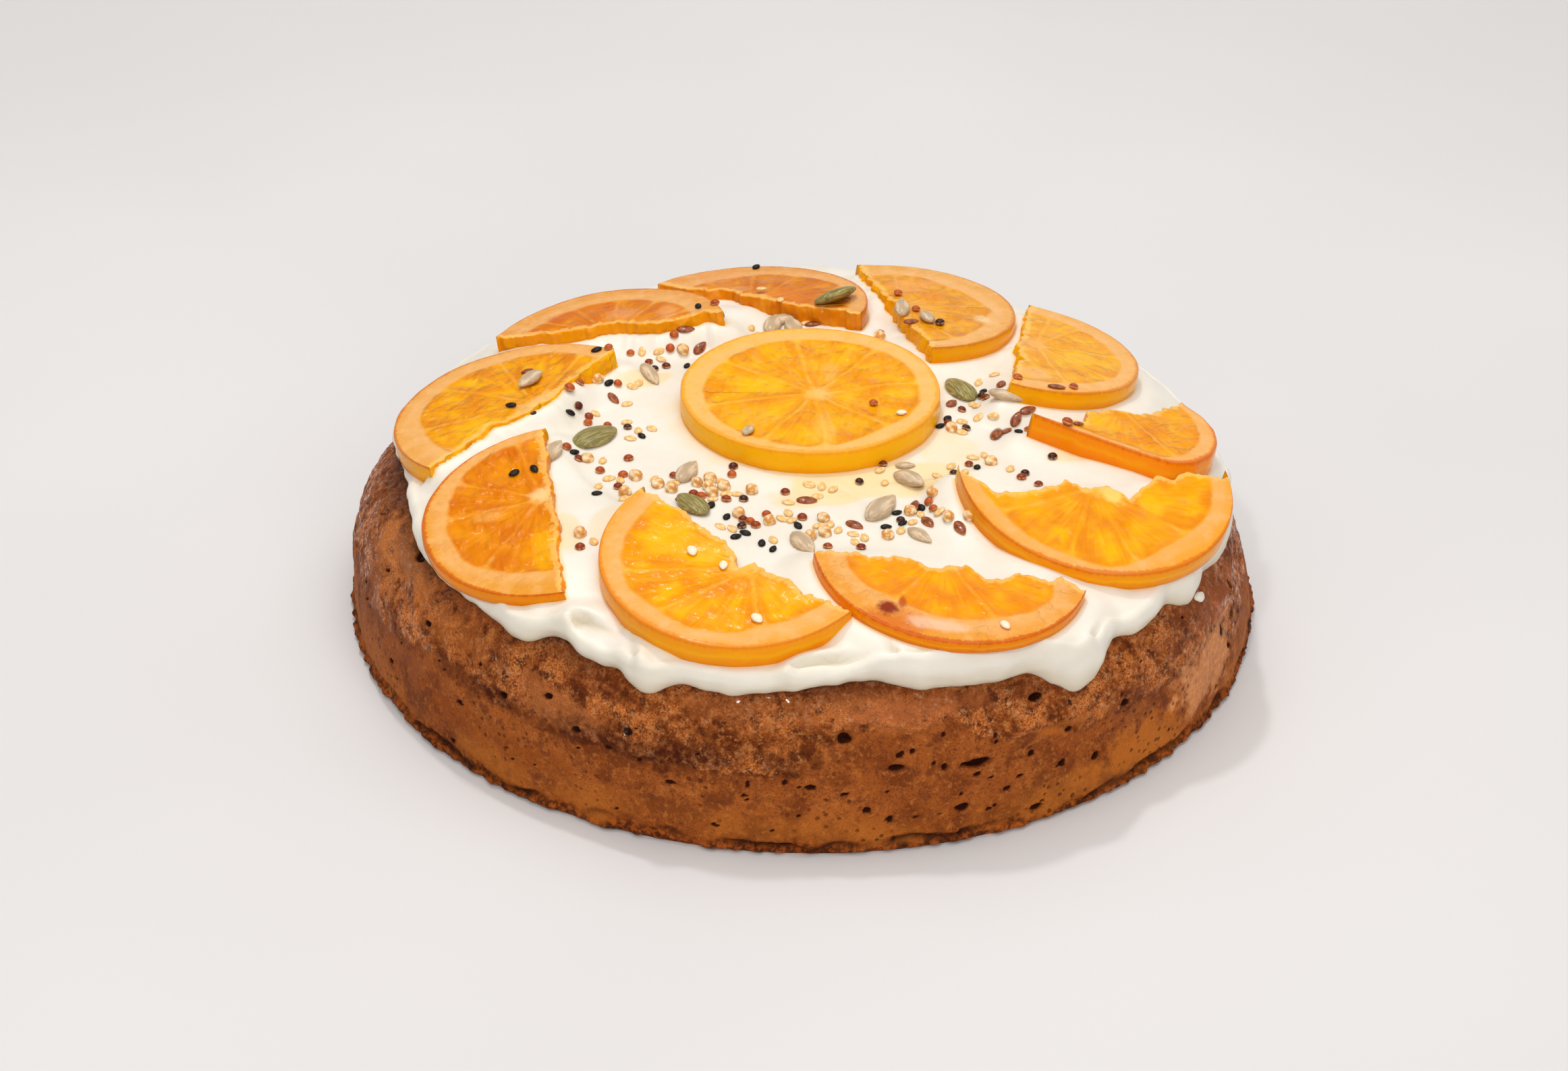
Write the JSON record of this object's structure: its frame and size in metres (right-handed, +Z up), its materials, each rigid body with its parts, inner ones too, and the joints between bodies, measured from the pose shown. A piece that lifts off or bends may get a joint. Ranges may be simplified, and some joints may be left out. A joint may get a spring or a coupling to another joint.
{
  "type": "iced orange cake",
  "caption": "Round browned sponge cake topped with white icing, a whole candied orange slice ringed by half slices, and scattered seeds.",
  "frame": {"origin": "middle of the flat underside", "axes": "+Z up, -Y towards the picture's viewer, +X to that viewer's right"},
  "size_m": [0.2364, 0.2348, 0.06],
  "materials": {
    "crust": "browned sponge crust, satin",
    "icing": "soft white icing, satin",
    "candied_orange": "candied orange, glossy and translucent"
  },
  "bodies": {
    "root": {"cake": "crust", "icing": "icing", "slice_middle": "candied_orange", "slice_front_left": "candied_orange", "slice_left_front": "candied_orange", "slice_left": "candied_orange", "slice_back_left": "candied_orange", "slice_back": "candied_orange", "slice_back_right": "candied_orange", "slice_right_back": "candied_orange", "slice_right": "candied_orange", "slice_right_front": "candied_orange", "slice_front_right": "candied_orange"}
  },
  "joints": []
}
